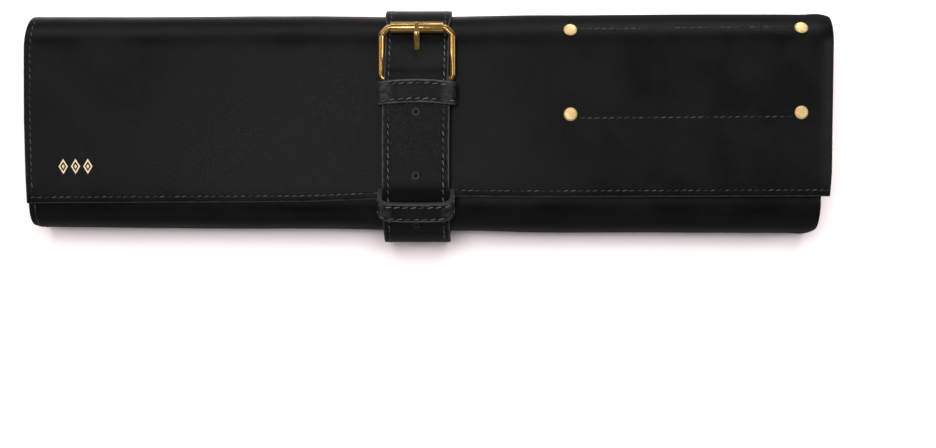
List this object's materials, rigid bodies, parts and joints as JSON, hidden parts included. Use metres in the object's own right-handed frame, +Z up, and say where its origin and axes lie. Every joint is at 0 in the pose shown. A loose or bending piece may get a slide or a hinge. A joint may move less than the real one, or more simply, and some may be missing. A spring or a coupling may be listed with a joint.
{
  "type": "chef knife roll",
  "caption": "Long flat leather knife roll, its sheet wound into a hollow spiral and closed round the middle by a strap with a brass roller buckle and leather keepers.",
  "frame": {"origin": "on the surface the roll lies on, below the middle of the whole", "axes": "+X along the roll, from the plain end to the riveted end; +Y towards the rolled back, away from the flap's free edge; +Z up"},
  "size_m": [0.483, 0.1402, 0.0666],
  "materials": {
    "panel_leather": "black full-grain leather, semi-matt with soft sheen",
    "strap_leather": "black strap leather, stitched along both edges",
    "keeper_leather": "black leather loop, rubbed lighter at its edges",
    "buckle_brass": "polished antique brass",
    "rivet_brass": "polished brass, turned bevel"
  },
  "bodies": {
    "root": {"roll_panel": "panel_leather", "strap": "strap_leather", "fixed_keeper": "keeper_leather", "loose_keeper": "keeper_leather", "buckle_frame": "buckle_brass", "buckle_prong": "buckle_brass", "buckle_roller": "buckle_brass", "rivet_1": "rivet_brass", "rivet_2": "rivet_brass", "rivet_3": "rivet_brass", "rivet_4": "rivet_brass"}
  },
  "joints": []
}
